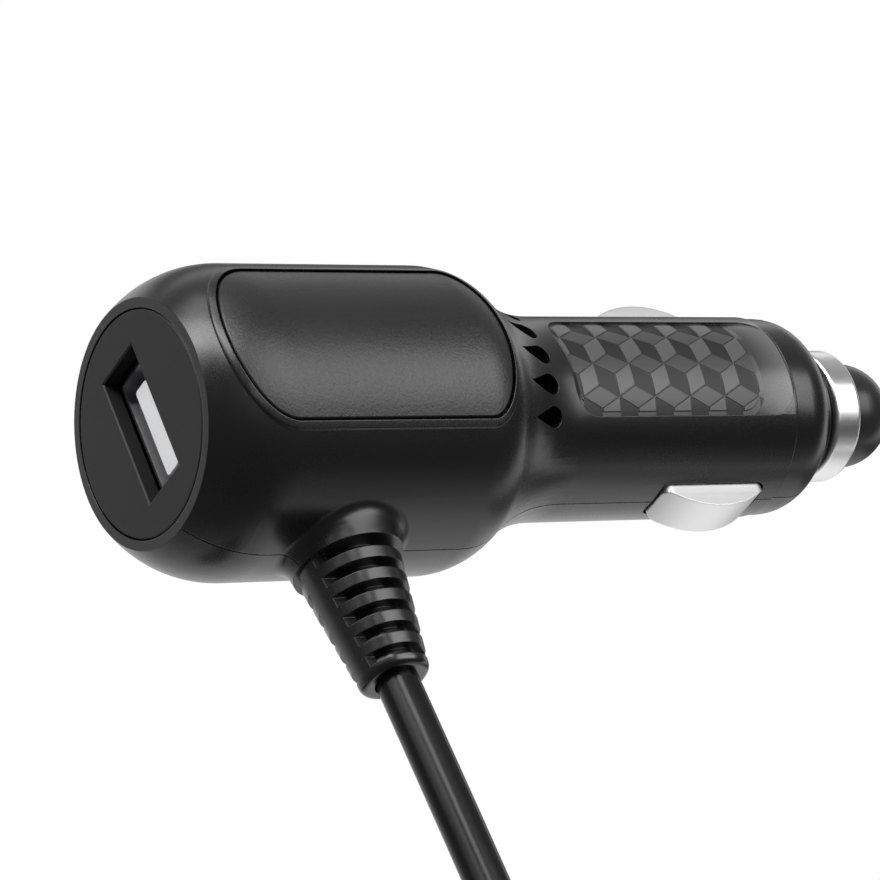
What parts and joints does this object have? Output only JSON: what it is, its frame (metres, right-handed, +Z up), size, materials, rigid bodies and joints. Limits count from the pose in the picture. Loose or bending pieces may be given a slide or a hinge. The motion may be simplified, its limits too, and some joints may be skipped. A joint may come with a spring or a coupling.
{
  "type": "car usb charger plug",
  "caption": "Vehicle power socket charger with a round head, USB port, patterned grip, sprung tip and side contacts, and a fixed lead through a ribbed strain relief.",
  "frame": {"origin": "on the plug axis, at the rear end of the round pilot just behind the nose", "axes": "+X along the plug axis to the tip, +Z up through the head inlay, the cord leaves towards -Y"},
  "size_m": [0.0957, 0.1155, 0.1415],
  "materials": {
    "housing_black": "semi-gloss moulded black plastic",
    "plate_black": "matt moulded black plastic",
    "inlay_black": "satin dark grey plastic",
    "plated_steel": "bright nickel plated sheet",
    "white_plastic": "white moulded insulator",
    "brass": "plain brass",
    "board": "green solder resist",
    "ferrite": "dark ferrite",
    "can": "plain aluminium can",
    "chip_black": "matt black moulding",
    "spring_steel": "bright drawn wire",
    "fuse_glass": "clear glass",
    "chrome": "bright chrome plate",
    "nose_black": "glossy black insulator",
    "soft_black": "soft satin black vinyl",
    "tie_black": "black woven hook strap"
  },
  "bodies": {
    "housing": {"upper_shell": "housing_black", "lower_shell": "housing_black", "face_plate": "plate_black", "head_inlay": "inlay_black", "usb_shell": "plated_steel", "usb_tongue": "white_plastic", "usb_contacts": "brass", "circuit_board": "board", "power_inductor": "ferrite", "input_capacitor": "can", "output_capacitor": "can", "regulator_chip": "chip_black", "rectifier_diode": "chip_black", "spring_seat": "brass", "tip_spring": "spring_steel", "fuse_sleeve": "plate_black", "nose_bush": "nose_black", "retaining_ring": "chrome", "contact_spring_left": "spring_steel", "contact_spring_right": "spring_steel", "strain_relief": "soft_black", "cord": "soft_black", "cord_coil": "soft_black", "cord_tail": "soft_black", "coil_tie": "tie_black", "plug_grip": "soft_black", "plug_shell": "plated_steel", "plug_insert": "chip_black"},
    "tip": {"tip_pin": "chrome", "fuse_tube": "fuse_glass", "fuse_caps": "plated_steel"},
    "contact_left": {"side_contact_left": "chrome"},
    "contact_right": {"side_contact_right": "chrome"}
  },
  "joints": [
    {"name": "tip_slide", "type": "slide", "parent": "housing", "child": "tip", "axis": [-1, 0, 0], "range_m": [0, 0.003], "stiffness_N_per_m": 1500, "springref_m": -0.004, "deforming": ["tip_spring"]},
    {"name": "contact_left_slide", "type": "slide", "parent": "housing", "child": "contact_left", "axis": [0, -1, 0], "range_m": [0, 0.0015], "stiffness_N_per_m": 1200, "springref_m": -0.002, "deforming": ["contact_spring_left"]},
    {"name": "contact_right_slide", "type": "slide", "parent": "housing", "child": "contact_right", "axis": [0, 1, 0], "range_m": [0, 0.0015], "stiffness_N_per_m": 1200, "springref_m": -0.002, "deforming": ["contact_spring_right"]}
  ]
}
